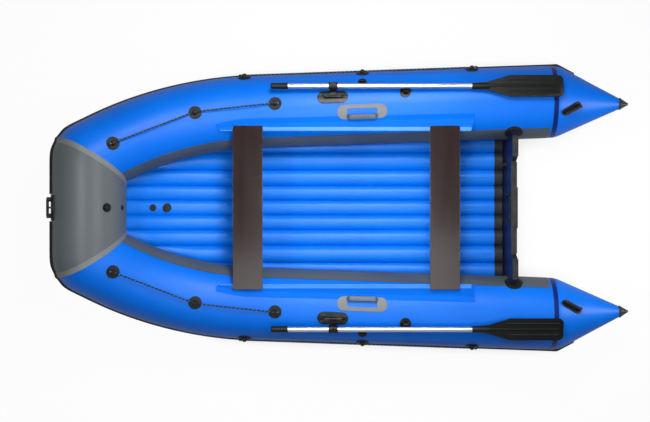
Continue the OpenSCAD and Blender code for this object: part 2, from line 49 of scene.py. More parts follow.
# camera straight above, bow to the left
shot = {"place": (0.100, 0.019, 8.2), "turn": math.pi, "lens": 75.64, "sensor": 36.0}
cameraData = bpy.data.cameras.new("photoCamera")
cameraData.lens = shot["lens"]
cameraData.sensor_width = shot["sensor"]
cameraData.clip_end = 60.0
camera = bpy.data.objects.new("photoCamera", cameraData)
camera.location = shot["place"]
camera.rotation_euler = (0.0, 0.0, shot["turn"])
scene.collection.objects.link(camera)
scene.camera = camera


# shader wiring: arithmetic on sockets, and one method for every other node
class Wire:
    def __init__(self, tree, socket=None):
        self.tree = tree
        self.socket = socket

    def plug(self, socket, value):
        if isinstance(value, Wire):
            self.tree.links.new(value.socket, socket)
        else:
            socket.default_value = value

    def make(self, kind, settings=None, values=None, out=0):
        node = self.tree.nodes.new("ShaderNode" + kind)
        for name, value in (settings or {}).items():
            setattr(node, name, value)
        for key, value in (values or {}).items():
            self.plug(node.inputs[key], value)
        return Wire(self.tree, node.outputs[out])

    def sum(self, operation, first, second):
        return self.make("Math", {"operation": operation}, {0: first, 1: second})

    def __add__(self, other):
        return self.sum("ADD", self, other)

    __radd__ = __add__

    def __sub__(self, other):
        return self.sum("SUBTRACT", self, other)

    def __rsub__(self, other):
        return self.sum("SUBTRACT", other, self)

    def __mul__(self, other):
        return self.sum("MULTIPLY", self, other)

    __rmul__ = __mul__

    def __lt__(self, other):
        return self.sum("LESS_THAN", self, other)

    def fade(self, low, high):  # 0 at low to 1 at high, eased
        return self.make("MapRange", {"interpolation_type": "SMOOTHSTEP"},
                         {"Value": self, "From Min": low, "From Max": high})

    def pick(self, off, on):  # colour off where the wire is 0, on where it is 1
        off = off if isinstance(off, Wire) else (*off, 1.0)
        on = on if isinstance(on, Wire) else (*on, 1.0)
        return self.make("Mix", {"data_type": "RGBA"}, {0: self, 6: off, 7: on}, out=2)

    def parts(self):
        split = self.make("SeparateXYZ", None, {0: self})
        outs = split.socket.node.outputs
        return [Wire(self.tree, outs[axis]) for axis in "XYZ"]


def paint(red, green, blue):  # screen values to the linear ones a shader takes
    return tuple(((c / 255 + 0.055) / 1.055) ** 2.4 if c > 10 else c / 255 / 12.92
                 for c in (red, green, blue))


def newMaterial(name, fixed):
    material = bpy.data.materials.new(name)
    material.use_nodes = True
    shader = material.node_tree.nodes["Principled BSDF"]
    for key, value in fixed.items():
        shader.inputs[key].default_value = value
    return material, shader, Wire(material.node_tree)


def bumped(wire, height, strength, depth):
    return wire.make("Bump", None, {"Strength": strength, "Distance": depth, "Height": height})


# coated fabric: a faint weave under a satin skin, clouded and slightly scuffed; where the look's seam share is set,
# its creases get painted shade
plainFabric = {"coat": 0.0, "bump": 0.12, "seam": 0.0, "shade": paint(20, 24, 30)}


def coatedFabric(name, look):
    look = {**plainFabric, **look}
    material, shader, wire = newMaterial(name, {"Coat Roughness": 0.30, "IOR": 1.45,
                                                "Specular IOR Level": look["shine"]})
    place = wire.make("TexCoord", out="Object")
    cloud = wire.make("TexNoise", None, {"Vector": place, "Scale": 2.6, "Detail": 4.0})
    scuff = wire.make("TexNoise", None, {"Vector": place, "Scale": 46.0, "Detail": 6.0, "Roughness": 0.7})
    warp = wire.make("TexWave", {"bands_direction": "X"}, {"Vector": place, "Scale": 160.0})
    weft = wire.make("TexWave", {"bands_direction": "DIAGONAL"}, {"Vector": place, "Scale": 150.0})
    grain = wire.make("TexNoise", None, {"Vector": place, "Scale": 700.0, "Detail": 2.0})
    worn = scuff.fade(0.62, 0.78)
    tinted = (cloud.fade(0.3, 0.7) * 0.8 + 0.2).pick(look["deep"], look["tone"])
    worked = (worn * 0.16).pick(tinted, look["pale"])
    # painted shade: concave creases (low pointiness) darken towards the shade colour, by the look's seam share
    paintedCreaseShade = (1 - wire.make("NewGeometry", out="Pointiness").fade(0.40, 0.50)) * look["seam"]
    wire.plug(shader.inputs["Base Color"], paintedCreaseShade.pick(worked, look["shade"]))
    wire.plug(shader.inputs["Roughness"], look["rough"] + worn * 0.14 + grain * 0.06)
    wire.plug(shader.inputs["Coat Weight"], look["coat"] - worn * 0.08)
    weave = warp * 0.35 + weft * 0.35 + grain * 0.5 + scuff * 0.5
    wire.plug(shader.inputs["Normal"], bumped(wire, weave, look["bump"], 0.0006))
    return material


# black rubber and moulded plastic: fine texture, paler where it has rubbed
def mouldedBlack(name, look):
    material, shader, wire = newMaterial(name, {"IOR": 1.5, "Specular IOR Level": look["shine"]})
    place = wire.make("TexCoord", out="Object")
    pores = wire.make("TexVoronoi", None, {"Vector": place, "Scale": 420.0})
    haze = wire.make("TexNoise", None, {"Vector": place, "Scale": 22.0, "Detail": 5.0, "Roughness": 0.65})
    edge = wire.make("NewGeometry", out="Pointiness")
    rubbed = edge.fade(0.53, 0.62) * haze.fade(0.3, 0.7)
    dusty = haze.fade(0.5, 0.8)
    base = (dusty * 0.5).pick(look["tone"], look["dust"])
    wire.plug(shader.inputs["Base Color"], (rubbed * 0.7).pick(base, look["worn"]))
    wire.plug(shader.inputs["Roughness"], look["rough"] + dusty * 0.12 - rubbed * 0.08)
    wire.plug(shader.inputs["Normal"], bumped(wire, pores + haze * 0.6, look["bump"], 0.0004))
    return material


# film faced plywood: printed mesh on the faces, plies along the edges
def filmPly(name, look):
    material, shader, wire = newMaterial(name, {"Coat Roughness": 0.36, "Specular IOR Level": look["shine"]})
    place = wire.make("TexCoord", out="Object")
    side = wire.make("NewGeometry", out="Normal")
    along = wire.make("VectorMath", {"operation": "DOT_PRODUCT"}, {0: side, 1: look["face"]}, out="Value")
    edge = 1 - wire.make("Math", {"operation": "ABSOLUTE"}, {0: along}).fade(0.55, 0.8)
    depth = wire.make("VectorMath", {"operation": "DOT_PRODUCT"}, {0: place, 1: look["face"]}, out="Value")
    plies = wire.make("Math", {"operation": "SINE"}, {0: depth * look["plies"]}).fade(-0.3, 0.3)
    mesh = wire.make("TexBrick", {"offset": 0.0},
                     {"Vector": place, "Scale": 260.0, "Mortar Size": 0.04, "Color1": (0, 0, 0, 1),
                      "Color2": (0, 0, 0, 1), "Mortar": (1, 1, 1, 1)}, out="Fac")
    long = wire.make("Mapping", None, {0: place, 3: look["stretch"]})
    streak = wire.make("TexNoise", None, {"Vector": long, "Scale": 9.0, "Detail": 6.0, "Roughness": 0.6})
    film = streak.fade(0.3, 0.75).pick(look["tone"], look["light"])
    cut = (plies * 0.8).pick(look["ply"], look["glue"])
    wire.plug(shader.inputs["Base Color"], edge.pick(film, cut))
    wire.plug(shader.inputs["Roughness"], look["rough"] + edge * 0.25 + streak * 0.05)
    wire.plug(shader.inputs["Coat Weight"], (1 - edge) * look["coat"])
    wire.plug(shader.inputs["Normal"], bumped(wire, mesh * 0.5 + streak * 0.1 + plies * edge, 0.08, 0.0004))
    return material


def brushedMetal(name, look):
    material, shader, wire = newMaterial(name, {"Metallic": 1.0})
    place = wire.make("TexCoord", out="Object")
    long = wire.make("Mapping", None, {0: place, 3: look["stretch"]})
    hair = wire.make("TexNoise", None, {"Vector": long, "Scale": 60.0, "Detail": 5.0, "Roughness": 0.7})
    cloud = wire.make("TexNoise", None, {"Vector": place, "Scale": 8.0, "Detail": 3.0})
    blend = (hair * 0.5 + cloud * 0.5).fade(0.2, 0.8)
    wire.plug(shader.inputs["Base Color"], blend.pick(look["deep"], look["tone"]))
    wire.plug(shader.inputs["Roughness"], look["rough"] + hair * 0.14)
    wire.plug(shader.inputs["Normal"], bumped(wire, hair, 0.05, 0.0003))
    return material


# braided cord: dark plaits with pale flecks, on its own UV map (u round it, v along it in metres)
def braidedCord(name, look):
    material, shader, wire = newMaterial(name, {"Roughness": 0.75})
    around, along = wire.make("UVMap", {"uv_map": "cord"}).parts()[:2]
    lay = along * look["perMetre"]
    left = wire.make("Math", {"operation": "SINE"}, {0: (around + lay) * look["plaits"] * math.tau})
    right = wire.make("Math", {"operation": "SINE"}, {0: (around - lay) * look["plaits"] * math.tau})
    plait = wire.make("Math", {"operation": "MAXIMUM"}, {0: left, 1: right})
    turn = wire.make("Math", {"operation": "FRACT"}, {0: around + lay})
    fleck = (turn < look["fleckShare"]) * left.fade(-0.2, 0.4)
    place = wire.make("TexCoord", out="Object")
    fuzz = wire.make("TexNoise", None, {"Vector": place, "Scale": 900.0, "Detail": 3.0})
    dark = fuzz.fade(0.3, 0.8).pick(look["tone"], look["light"])
    wire.plug(shader.inputs["Base Color"], fleck.pick(dark, look["fleck"]))
    wire.plug(shader.inputs["Normal"], bumped(wire, plait + fuzz * 0.4, 0.5, 0.0012))
    return material


blueSkin = coatedFabric("bluePvc", {
    "tone": paint(0, 118, 240), "deep": paint(0, 110, 232), "pale": paint(40, 140, 246),
    "rough": 0.40, "bump": 0.08, "shine": 0.36})
# painted shade: the floor's creases along its chamber seams darken towards the shade colour (seam share 0.6)
floorSkin = coatedFabric("blueFloorPvc", {
    "tone": paint(8, 124, 242), "deep": paint(2, 118, 236), "pale": paint(50, 140, 244),
    "shade": paint(0, 76, 176), "rough": 0.34, "shine": 0.30, "seam": 0.6})
flangeSkin = coatedFabric("dullBluePvc", {
    "tone": paint(0, 112, 232), "deep": paint(0, 104, 224), "pale": paint(40, 140, 246),
    "rough": 0.60, "bump": 0.08, "shine": 0.10})
railSkin = coatedFabric("paleBluePvc", {
    "tone": paint(70, 150, 250), "deep": paint(58, 140, 244), "pale": paint(160, 200, 250),
    "rough": 0.40, "coat": 0.06, "bump": 0.08, "shine": 0.26})
navySkin = coatedFabric("navyPvc", {
    "tone": paint(6, 40, 122), "deep": paint(4, 30, 100), "pale": paint(60, 90, 160),
    "rough": 0.36, "coat": 0.10, "bump": 0.10, "shine": 0.30})
greySkin = coatedFabric("greyPvc", {
    "tone": paint(100, 107, 110), "deep": paint(93, 100, 103), "pale": paint(132, 139, 142),
    "rough": 0.38, "shine": 0.36})
tapeSkin = coatedFabric("paleGreyPvc", {
    "tone": paint(130, 134, 134), "deep": paint(122, 126, 126), "pale": paint(170, 178, 180),
    "rough": 0.44, "coat": 0.05, "shine": 0.30})
stripSkin = coatedFabric("slatePvc", {
    "tone": paint(88, 97, 106), "deep": paint(78, 87, 96), "pale": paint(130, 140, 150),
    "rough": 0.44, "coat": 0.04, "shine": 0.30})
# painted shade: the creases of the dark end strip darken towards the default shade colour (seam share 0.5)
darkSkin = coatedFabric("darkPvc", {
    "tone": paint(42, 46, 50), "deep": paint(34, 38, 42), "pale": paint(86, 92, 98),
    "rough": 0.46, "shine": 0.26, "seam": 0.5})
blackRubber = mouldedBlack("blackRubber", {
    "tone": paint(28, 28, 29), "dust": paint(46, 46, 47), "worn": paint(84, 84, 86),
    "rough": 0.55, "bump": 0.18, "shine": 0.3})
blackPlastic = mouldedBlack("blackPlastic", {
    "tone": paint(12, 13, 14), "dust": paint(22, 24, 26), "worn": paint(70, 74, 78),
    "rough": 0.40, "bump": 0.10, "shine": 0.30})
capRubber = mouldedBlack("capRubber", {
    "tone": paint(46, 47, 48), "dust": paint(60, 61, 62), "worn": paint(110, 112, 114),
    "rough": 0.26, "bump": 0.06, "shine": 0.9})
navyPly = filmPly("navyPly", {
    "tone": paint(14, 26, 66), "light": paint(22, 38, 86), "ply": paint(30, 32, 44), "glue": paint(16, 18, 28),
    "face": (1.0, 0.0, 0.05), "plies": 1500.0, "stretch": (1.0, 0.3, 3.0),
    "rough": 0.34, "coat": 0.1, "shine": 0.4})
brownPly = filmPly("brownPly", {
    "tone": paint(38, 23, 23), "light": paint(44, 28, 27), "ply": paint(96, 66, 44), "glue": paint(44, 28, 20),
    "face": (0.0, 0.0, 1.0), "plies": 3200.0, "stretch": (3.0, 0.35, 1.0),
    "rough": 0.14, "coat": 0.0, "shine": 0.8})
silver = brushedMetal("anodisedTube", {
    "tone": paint(236, 238, 240), "deep": paint(206, 209, 213), "stretch": (0.05, 1.0, 1.0), "rough": 0.28})
cordBraid = braidedCord("cordBraid", {
    "tone": paint(20, 21, 24), "light": paint(42, 44, 50), "fleck": paint(96, 190, 235),
    "plaits": 4.0, "perMetre": 42.0, "fleckShare": 0.16})
print("materials ready")


# mesh helpers
def flipped(bm):  # the same piece for the other side
    twin = bm.copy()
    bmesh.ops.scale(twin, vec=(1.0, -1.0, 1.0), verts=twin.verts)
    bmesh.ops.reverse_faces(twin, faces=twin.faces)
    return twin


def joined(first, second):  # second's mesh added to first
    mesh = bpy.data.meshes.new("join")
    second.to_mesh(mesh)
    second.free()
    first.from_mesh(mesh)
    bpy.data.meshes.remove(mesh)
    return first


def newPiece(name, bm, material, stands=(), body="hull", crease=40.0):
    bmesh.ops.remove_doubles(bm, verts=bm.verts, dist=1e-5)
    bmesh.ops.recalc_face_normals(bm, faces=bm.faces)
    for face in bm.faces:
        face.smooth = True
    mesh = bpy.data.meshes.new(name)
    bm.to_mesh(mesh)
    bm.free()
    mesh.set_sharp_from_angle(angle=math.radians(crease))
    mesh.materials.append(material)
    piece = bpy.data.objects.new(name, mesh)
    scene.collection.objects.link(piece)
    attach(piece, body)
    if stands:
        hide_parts(*stands)
    return piece


def newPair(name, bm, material, stands=(), crease=40.0):  # the port piece and its twin
    halves = {"port": bm, "starboard": flipped(bm)}
    return [newPiece(side + name, half, material, [side + node for node in stands], crease=crease)
            for side, half in halves.items()]


def faceUp(bm):
    bmesh.ops.recalc_face_normals(bm, faces=bm.faces)
    if sum(f.normal.z for f in bm.faces) < 0:
        bmesh.ops.reverse_faces(bm, faces=bm.faces)


def pushOn(bm, ring, shift):  # extrude a ring of edges by a vector, and give the new ring
    grown = bmesh.ops.extrude_edge_only(bm, edges=ring)["geom"]
    bmesh.ops.translate(bm, vec=shift, verts=[g for g in grown if isinstance(g, bmesh.types.BMVert)])
    return [g for g in grown if isinstance(g, bmesh.types.BMEdge) and all(v in grown for v in g.verts)
            and not any(v in ringVerts(ring) for v in g.verts)]


def ringVerts(ring):
    return {v for e in ring for v in e.verts}


def sliced(bm, place, normal):  # keep what lies behind the plane
    bmesh.ops.bisect_plane(bm, geom=bm.verts[:] + bm.edges[:] + bm.faces[:], dist=1e-6,
                           plane_co=place, plane_no=normal, clear_outer=True)


def capped(bm):
    bmesh.ops.holes_fill(bm, edges=[e for e in bm.edges if e.is_boundary], sides=0)


# the line of the port tube: straight side, an arc in a tilted plane, a short straight to the mitre
tube = {"radius": 0.210, "kneeX": 0.510, "kneeY": 0.560, "seamX": -1.230, "splay": math.radians(2),
        "riseTilt": math.radians(45), "arcRadius": 1.400, "arcTurn": math.radians(36), "endLength": 0.140,
        "segments": 96, "arcSteps": 40, "sideSteps": 36, "frontSteps": 20, "frontStep": 0.02}
sideLength = (tube["kneeX"] - tube["seamX"]) / math.cos(tube["splay"])
kneeFrame = (Matrix.Translation((tube["kneeX"], tube["kneeY"], tube["radius"]))
             @ Matrix.Rotation(-tube["splay"], 4, "Z"))
riseFrame = kneeFrame @ Matrix.Rotation(-tube["riseTilt"], 4, "X")


def arcFrame(turn, past=0.0):
    reach = tube["arcRadius"]
    return (riseFrame @ Matrix.Translation((reach * math.sin(turn), -reach * (1 - math.cos(turn)), 0))
            @ Matrix.Rotation(-turn, 4, "Z") @ Matrix.Translation((past, 0, 0)))


corner = arcFrame(tube["arcTurn"], tube["endLength"]).translation
heading = (arcFrame(tube["arcTurn"]).to_3x3() @ Vector((1, 0, 0))).normalized()
bowWay = Vector((0, -1, 0))
mitre = (heading + bowWay).normalized()
bendOut = (heading - bowWay).normalized()


def section(bm, outline, closed):  # an outline across the knee: angle from the arc's outer side, and radius
    verts = [bm.verts.new((0.0, r * math.cos(a), r * math.sin(a))) for a, r in outline]
    return [bm.edges.new((verts[k - 1], verts[k])) for k in range(0 if closed else 1, len(verts))]


def sweep(outline, aft, closed=True):  # the outline run along the whole tube and past the mitre
    bm = bmesh.new()
    ring = section(bm, outline, closed)
    step = aft / tube["sideSteps"]
    back = ring
    for k in range(tube["sideSteps"]):
        back = pushOn(bm, back, (-step, 0, 0))
    turned = bmesh.ops.spin(bm, geom=ring + list(ringVerts(ring)), cent=(0, -tube["arcRadius"], 0),
                            axis=(0, 0, 1), angle=-tube["arcTurn"], steps=tube["arcSteps"])["geom_last"]
    front = [g for g in turned if isinstance(g, bmesh.types.BMEdge)]
    local = riseFrame.to_3x3().inverted() @ heading
    for k in range(tube["frontSteps"]):
        front = pushOn(bm, front, local * tube["frontStep"])
    bmesh.ops.transform(bm, matrix=riseFrame, verts=bm.verts)
    return bm


def roundCorner(bm, depth=0.036, width=0.062):  # the pressed fabric eases the outer corner of each mitre
    reach = tube["radius"] / mitre.dot(heading)
    for vert in bm.verts:
        mirror = 1 if vert.co.y >= 0 else -1
        away = Vector((vert.co.x, abs(vert.co.y), vert.co.z)) - corner
        out = away.dot(bendOut) / reach
        past = away.dot(mitre) / width
        if out > 0 and abs(past) < 4:
            pull = bendOut * depth * out * out * math.exp(-past ** 2)
            vert.co -= Vector((pull.x, pull.y * mirror, pull.z))


def breathe(bm, amount=0.0011, size=0.22, inset=0.7):  # slow unevenness of a blown up skin, always inwards
    bmesh.ops.recalc_face_normals(bm, faces=bm.faces)
    bm.normal_update()
    for vert in bm.verts:
        vert.co += vert.normal * (noise.noise(vert.co / size) - inset) * amount


circleOutline = [(math.tau * k / tube["segments"], tube["radius"]) for k in range(tube["segments"])]
cone = {"length": 0.3821, "baseRadius": 0.210 * 1.055, "capRadius": 0.033, "tilt": math.radians(7),
        "roll": math.radians(51), "rings": 18, "start": 0.006, "easeFrom": -1.36, "easeTo": -1.20,
        "easeRounds": 3, "easeFactor": 0.4}
coneFrame = (kneeFrame @ Matrix.Translation((-sideLength, 0, 0)) @ Matrix.Scale(-1, 4, (1, 0, 0))
             @ Matrix.Rotation(-cone["roll"], 4, "X") @ Matrix.Rotation(-cone["tilt"], 4, "Z"))


def coneRing(bm, ring, along):  # carry a ring of the tube on to the cone at a distance from the seam
    radius = cone["baseRadius"] + (cone["capRadius"] - cone["baseRadius"]) * along / cone["length"]
    inward = coneFrame.inverted()
    toKnee = kneeFrame.inverted()
    proud = bm.verts.layers.float.get("proud")
    fresh = pushOn(bm, ring, (0, 0, 0))
    for vert in ringVerts(fresh):
        seen = inward @ vert.co
        angle = math.atan2(seen.z, seen.y)
        lift = vert[proud] if proud else 0.0
        reach = radius + lift
        spot = toKnee @ (coneFrame @ Vector((along, reach * math.cos(angle), reach * math.sin(angle))))
        spread = math.hypot(spot.y, spot.z)
        if spread > tube["radius"] + lift:
            spot.y *= (tube["radius"] + lift) / spread
            spot.z *= (tube["radius"] + lift) / spread
        vert.co = kneeFrame @ spot
    return fresh


def aftRim(bm):  # the open edge of a swept piece at the stern
    return [e for e in bm.edges if e.is_boundary and all(v.co.x < -1.0 for v in e.verts)]


def sideTube():
    bm = sweep(circleOutline, sideLength)
    sliced(bm, corner, mitre)
    aftRing = aftRim(bm)
    for k in range(1, cone["rings"] + 1):
        aftRing = coneRing(bm, aftRing, cone["start"] + (cone["length"] - cone["start"]) * k / cone["rings"])
    near = [v for v in bm.verts if cone["easeFrom"] < v.co.x < cone["easeTo"]]
    for k in range(cone["easeRounds"]):
        bmesh.ops.smooth_vert(bm, verts=near, factor=cone["easeFactor"],
                              use_axis_x=True, use_axis_y=True, use_axis_z=True)
    breathe(bm)
    roundCorner(bm)
    return bm


def shell(bm, lift):  # a thin layer glued on a skin
    bm.normal_update()
    for vert in bm.verts:
        vert.co += vert.normal * lift
    bmesh.ops.solidify(bm, geom=bm.faces[:], thickness=lift * 0.9)


tape = {"lift": 0.0014, "bowWidth": 0.034, "coneFore": -1.208, "coneAft": -1.234}
portTube = sideTube()
band = portTube.copy()
sliced(band, (tape["coneFore"], 0, 0), (1, 0, 0))
sliced(band, (tape["coneAft"], 0, 0), (-1, 0, 0))
shell(band, tape["lift"])
newPiece("coneSeamBands", joined(band, flipped(band)), navySkin)
capped(portTube)
for piece in newPair("Tube", portTube, blueSkin, ("_bow_tube", "_side_tube", "_cone")):
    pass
print("side tubes done")


bow = {"halfWidth": 0.62, "steps": 62, "step": 0.02}


def bowBarrel():  # the bow tube from port to starboard, cut along both mitres
    bm = bmesh.new()
    turn = Matrix.Translation((corner.x, bow["halfWidth"], corner.z)) @ Matrix.Rotation(math.radians(90), 4, "X")
    bmesh.ops.create_circle(bm, segments=tube["segments"], radius=tube["radius"], matrix=turn)
    ring = bm.edges[:]
    for k in range(bow["steps"]):
        ring = pushOn(bm, ring, (0, -bow["step"], 0))
    for side in (1, -1):
        sliced(bm, (corner.x, corner.y * side, corner.z), (-mitre.x, -mitre.y * side, -mitre.z))
    breathe(bm)
    roundCorner(bm)
    return bm


bowTube = bowBarrel()
bowTape = bowTube.copy()
sliced(bowTape, (corner.x, corner.y - tape["bowWidth"], corner.z), mitre)
shell(bowTape, tape["lift"])
newPiece("bowSeamTapes", joined(bowTape, flipped(bowTape)), tapeSkin)
capped(bowTube)
newPiece("bowTube", bowTube, greySkin, ("bow_tube",))
print("bow tube done")


# tie ring on the rear of the bow tube: a rubber patch and a small ring lying on it
tie = {"back": math.radians(160), "patch": 0.016, "taper": 0.9, "thick": 0.003, "ring": 0.008, "wire": 0.0022,
       "gap": 0.0004}
tieBm = bmesh.new()
bmesh.ops.create_cone(tieBm, cap_ends=True, segments=32, radius1=tie["patch"], radius2=tie["patch"] * tie["taper"],
                      depth=tie["thick"])
ringBm = bmesh.new()
bmesh.ops.create_circle(ringBm, segments=10, radius=tie["wire"],
                        matrix=Matrix.Translation((tie["ring"], 0, 0)) @ Matrix.Rotation(math.radians(90), 4, "X"))
bmesh.ops.spin(ringBm, geom=ringBm.verts[:] + ringBm.edges[:], cent=(0, 0, 0), axis=(0, 0, 1), angle=math.tau,
               steps=28, use_merge=True)
bmesh.ops.translate(ringBm, vec=(0, 0, tie["thick"]), verts=ringBm.verts)
tieBm = joined(tieBm, ringBm)
tieWay = Vector((math.cos(tie["back"]), 0, math.sin(tie["back"])))
tiePlace = Matrix.Translation(Vector((corner.x, 0, corner.z)) + tieWay * (tube["radius"] + tie["gap"]))
bmesh.ops.transform(tieBm, matrix=tiePlace @ tieWay.to_track_quat("Z", "Y").to_matrix().to_4x4(),
                    verts=tieBm.verts)
newPiece("bowTieRing", tieBm, blackRubber)


# slate strip along the inner side of each tube, where the floor is welded on
strip = {"from": math.radians(184), "to": math.radians(246), "steps": 16, "lift": 0.0016, "aft": -1.197}
stripOutline = [(strip["from"] + (strip["to"] - strip["from"]) * k / strip["steps"], tube["radius"])
                for k in range(strip["steps"] + 1)]
innerStrip = sweep(stripOutline, sideLength, False)
sliced(innerStrip, corner, mitre)
sliced(innerStrip, (strip["aft"], 0, 0), (-1, 0, 0))
breathe(innerStrip)
roundCorner(innerStrip)
if innerStrip.faces[:][0].normal.dot(Vector((0, -1, 0))) < 0:
    bmesh.ops.reverse_faces(innerStrip, faces=innerStrip.faces)
shell(innerStrip, strip["lift"])
newPiece("innerStrips", joined(innerStrip, flipped(innerStrip)), stripSkin)


# rubbing strake: a rubber band with a round rib, along the side and half of the bow
strake = {"width": 0.060, "thick": 0.011, "gap": 0.0005, "up": math.radians(38), "bowUp": math.radians(13.58),
          "bowFrom": 0.076, "bowSteps": 30, "bowStep": 0.02, "coneEnd": 0.118, "coneSteps": 8}
strakeHalf = strake["width"] / 2 / tube["radius"]
ribSide = [(1, 0.16), (0.95, 0.30), (0.85, 0.38), (0.72, 0.40), (0.62, 0.46), (0.56, 0.62), (0.5, 0.8), (0.4, 0.92),
           (0.25, 0.99)]  # across and out, from the edge of the band up to the rib
ribBack = [(across, -0.1) for across in (-1, -0.5, 0, 0.5, 1)]
ribShape = ribBack + ribSide + [(0, 1.0)] + [(-across, out) for across, out in reversed(ribSide)]


def strakeOutline(up):
    base = tube["radius"] + strake["gap"]
    return [(up + across * strakeHalf, base + out * strake["thick"]) for across, out in ribShape]


sideStrake = sweep(strakeOutline(strake["up"]), sideLength)
sliced(sideStrake, corner, mitre)
proud = sideStrake.verts.layers.float.new("proud")
strakeRing = aftRim(sideStrake)
for vert in ringVerts(strakeRing):
    spot = kneeFrame.inverted() @ vert.co
    vert[proud] = math.hypot(spot.y, spot.z) - tube["radius"]
for k in range(1, strake["coneSteps"] + 1):
    strakeRing = coneRing(sideStrake, strakeRing, strake["coneEnd"] * k / strake["coneSteps"])
capped(sideStrake)
bowStrake = bmesh.new()
rib = [bowStrake.verts.new((corner.x + r * math.cos(a), strake["bowFrom"], corner.z + r * math.sin(a)))
       for a, r in strakeOutline(strake["bowUp"])]
ribRing = [bowStrake.edges.new((rib[k - 1], rib[k])) for k in range(len(rib))]
for k in range(strake["bowSteps"]):
    ribRing = pushOn(bowStrake, ribRing, (0, strake["bowStep"], 0))
sliced(bowStrake, corner, -mitre)
capped(bowStrake)
portStrake = joined(sideStrake, bowStrake)
roundCorner(portStrake)
newPair("Strake", portStrake, blackRubber, ("_strake",))
print("strips and strakes done")


# air floor: nine welded chambers that rise with the tubes at the bow
floor = {"aft": -0.9495, "thick": 0.070, "vee": 0.013, "edgeZ": 0.075, "seams": (0.044, 0.130, 0.223, 0.326),
         "seamGuard": 0.008, "guardStep": 0.002, "columns": 14, "rows": 150, "gap": 0.002, "underArch": 0.55,
         "pucker": 0.0016, "puckerReach": 0.022, "folds": 26, "pinch": 0.003, "pinchReach": 0.006,
         "stripFore": -0.902, "stripLift": 0.0012}
chambers = 2 * len(floor["seams"]) + 1


def tubeStation(run):  # frame and turn on the tube's axis, run metres ahead of the knee
    if run <= 0:
        return kneeFrame @ Matrix.Translation((run, 0, 0)), 0.0
    turn = min(run / tube["arcRadius"], tube["arcTurn"])
    return arcFrame(turn), turn


def edgeAt(run, height):  # where the floor meets the tube, at a height over the tube's own lowest line
    place, turn = tubeStation(run)
    ahead = (place.to_3x3() @ Vector((1, 0, 0))).normalized()
    out = Vector((0, 0, 1)).cross(ahead).normalized()
    down = -ahead.cross(out).normalized()
    dip = math.asin((tube["radius"] - height) / tube["radius"])
    spot = place.translation + (tube["radius"] + floor["gap"]) * (math.sin(dip) * down - math.cos(dip) * out)
    if turn == 0:
        spot.x = place.translation.x
    return spot


def chamberBounds(edge):
    ends = [min(seam, edge - floor["seamGuard"] + floor["guardStep"] * k) for k, seam in enumerate(floor["seams"])]
    return [-edge] + [-e for e in reversed(ends)] + ends + [edge]


def floorPoint(run, across, top):  # across counts chambers from 0 to 9
    half = floor["thick"] / 2
    edge = edgeAt(run, floor["edgeZ"] + (half if top else -half))
    middle = edgeAt(run, floor["edgeZ"]).z
    bounds = chamberBounds(edge.y)
    k = min(int(across), chambers - 1)
    low, high = bounds[k], bounds[k + 1]
    y = low + (high - low) * (across - k)
    arch = math.sqrt(((high - low) / 2) ** 2 + half ** 2 - (y - (low + high) / 2) ** 2) - half
    seamNear = min(y - low, high - y)
    fold = noise.noise(Vector((run * floor["folds"], k * 3.7, 0.0 if top else 9.0)))
    pucker = floor["pucker"] * fold * math.exp(-(seamNear / floor["puckerReach"]) ** 2)
    pinch = floor["pinch"] * math.exp(-(seamNear / floor["pinchReach"]) ** 2) if 0 < across < chambers else 0.0
    rise = half + (arch if top else floor["underArch"] * arch) + pucker - pinch
    z = middle - floor["vee"] * (1 - abs(y) / edge.y) + (rise if top else -rise)
    return Vector((edge.x, y, z))


floorBm = bmesh.new()
bmesh.ops.create_grid(floorBm, x_segments=floor["rows"], y_segments=chambers * floor["columns"], size=1.0)
lower = bmesh.ops.extrude_face_region(floorBm, geom=floorBm.faces[:])["geom"]
bmesh.ops.translate(floorBm, vec=(0, 0, -1), verts=[g for g in lower if isinstance(g, bmesh.types.BMVert)])
aftRun = (floor["aft"] - tube["kneeX"]) / math.cos(tube["splay"])
foreRun = tube["arcRadius"] * tube["arcTurn"]
for vert in floorBm.verts:
    run = aftRun + (foreRun - aftRun) * (vert.co.x + 1) / 2
    vert.co = floorPoint(run, chambers * (vert.co.y + 1) / 2, vert.co.z > -0.5)
bmesh.ops.recalc_face_normals(floorBm, faces=floorBm.faces)
floorBm.normal_update()
endStrip = floorBm.copy()
bmesh.ops.delete(endStrip, geom=[f for f in endStrip.faces if f.normal.z < 0.2], context="FACES")
sliced(endStrip, (floor["stripFore"], 0, 0), (1, 0, 0))
shell(endStrip, floor["stripLift"])
newPiece("floorEndStrip", endStrip, darkSkin)
newPiece("airFloor", floorBm, floorSkin, ("air_floor",))
print("floor done")


# seat rails: a flange that leans down to the tube and laps on to it, with a pale extruded edge and its bead
rail = {"y": 0.440, "z": 0.414, "lean": math.radians(12), "fore": 0.700, "aft": -0.735, "slant": 0.022,
        "lap": 0.030, "skinGap": 0.0012, "from": 0.02, "thick": 0.0024, "lift": 0.0010, "bead": 0.004,
        "beadInset": 0.001, "paleWidth": 0.020, "paleEnd": 0.07, "paleLift": 0.0022, "paleThick": 0.0008}
railWay = Vector((0, math.cos(rail["lean"]), -math.sin(rail["lean"])))


def tubeSection(x):  # centre of the tube where the plane at x cuts it, and its heading there
    turn = math.asin(max(x - tube["kneeX"], 0) / tube["arcRadius"])
    inward = tube["arcRadius"] * (1 - math.cos(turn))
    axisY = tube["kneeY"] + (tube["kneeX"] - x) * math.tan(tube["splay"]) - inward * math.cos(tube["riseTilt"])
    axisZ = tube["radius"] + inward * math.sin(tube["riseTilt"])
    return Vector((x, axisY, axisZ)), (arcFrame(turn).to_3x3() @ Vector((1, 0, 0))).normalized()


